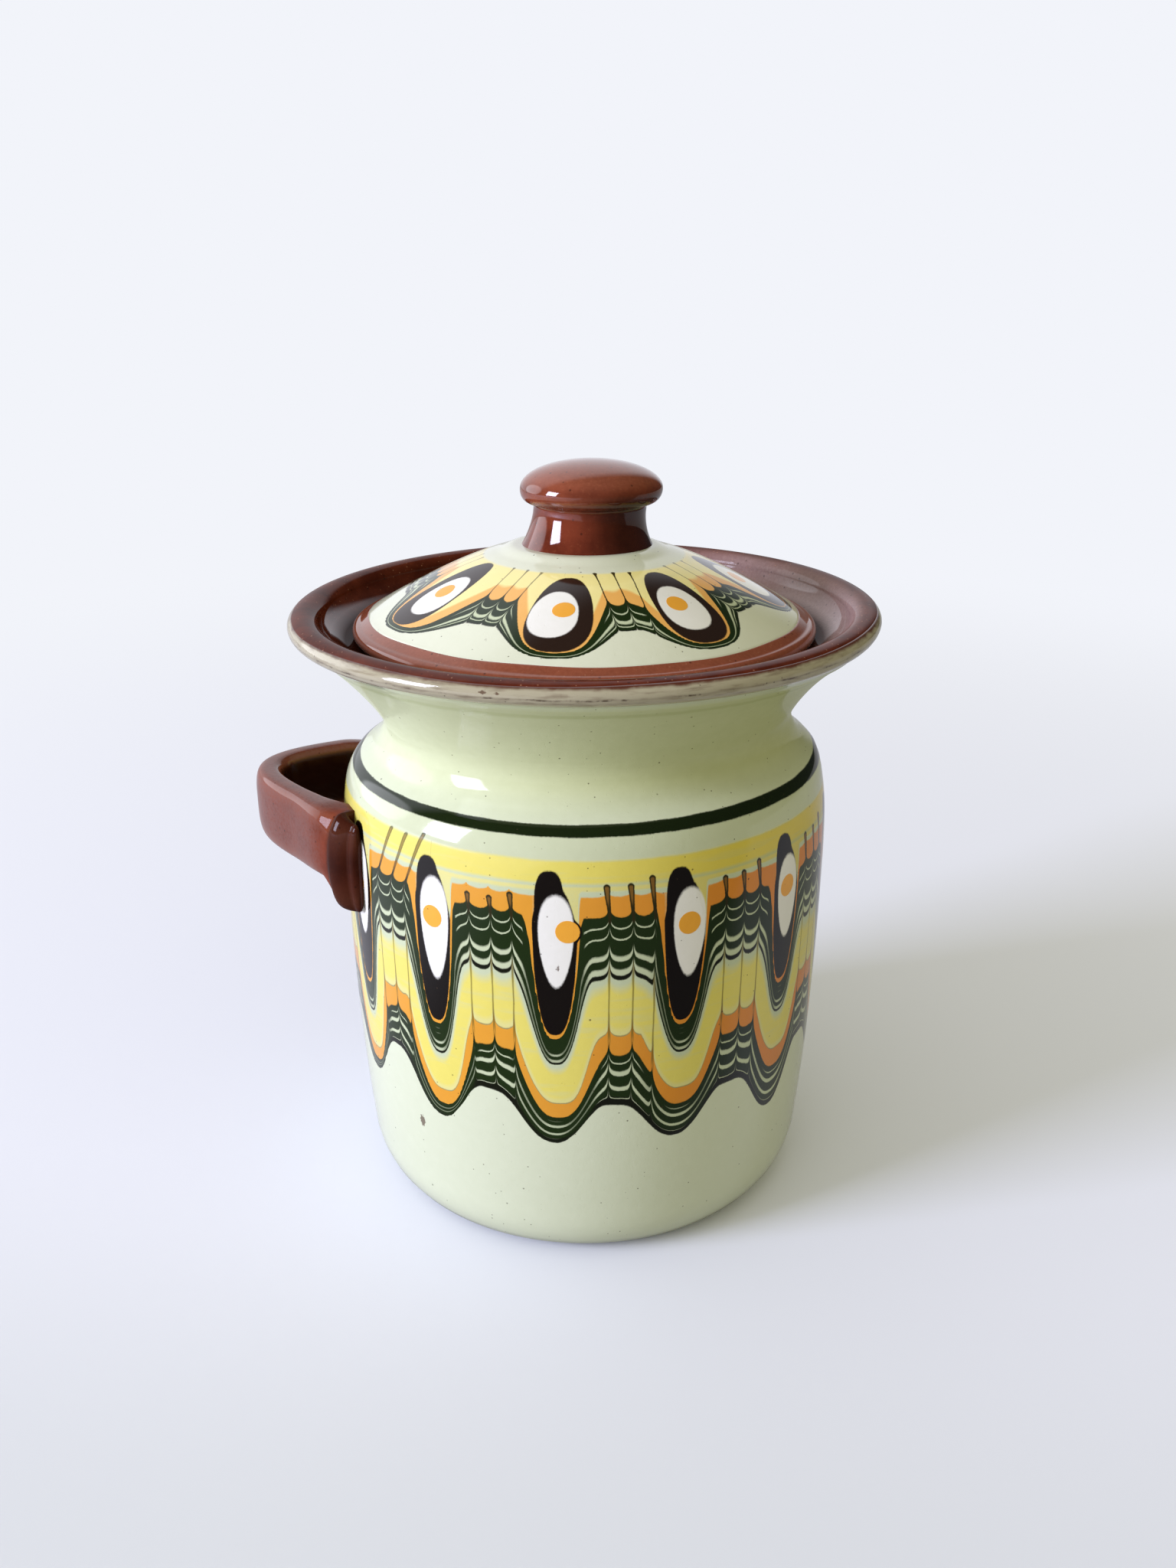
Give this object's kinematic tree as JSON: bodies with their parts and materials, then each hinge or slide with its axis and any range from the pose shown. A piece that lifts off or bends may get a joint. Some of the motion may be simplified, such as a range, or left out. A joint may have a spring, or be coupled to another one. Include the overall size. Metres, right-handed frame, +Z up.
{
  "type": "mustard pot",
  "caption": "Small glazed clay pot with a flared rim, a side strap handle and a loose domed lid with a knob, for mustard and other condiments.",
  "frame": {"origin": "centre of the flat base, on the surface that the pot stands on", "axes": "+Z up along the pot's axis, -X towards the handle"},
  "size_m": [0.1014, 0.09, 0.1168],
  "materials": {
    "slip_glaze": "glossy clear glaze over pale green slip",
    "clay_glaze": "glossy clear glaze over red-brown clay"
  },
  "bodies": {
    "pot": {"pot_body": "slip_glaze", "strap_handle": "clay_glaze"},
    "lid": {"lid": "slip_glaze", "knob": "clay_glaze"}
  },
  "joints": [
    {"name": "lid_lift", "type": "slide", "parent": "pot", "child": "lid", "axis": [0, 0, 1], "range_m": [0, 0.015]}
  ]
}
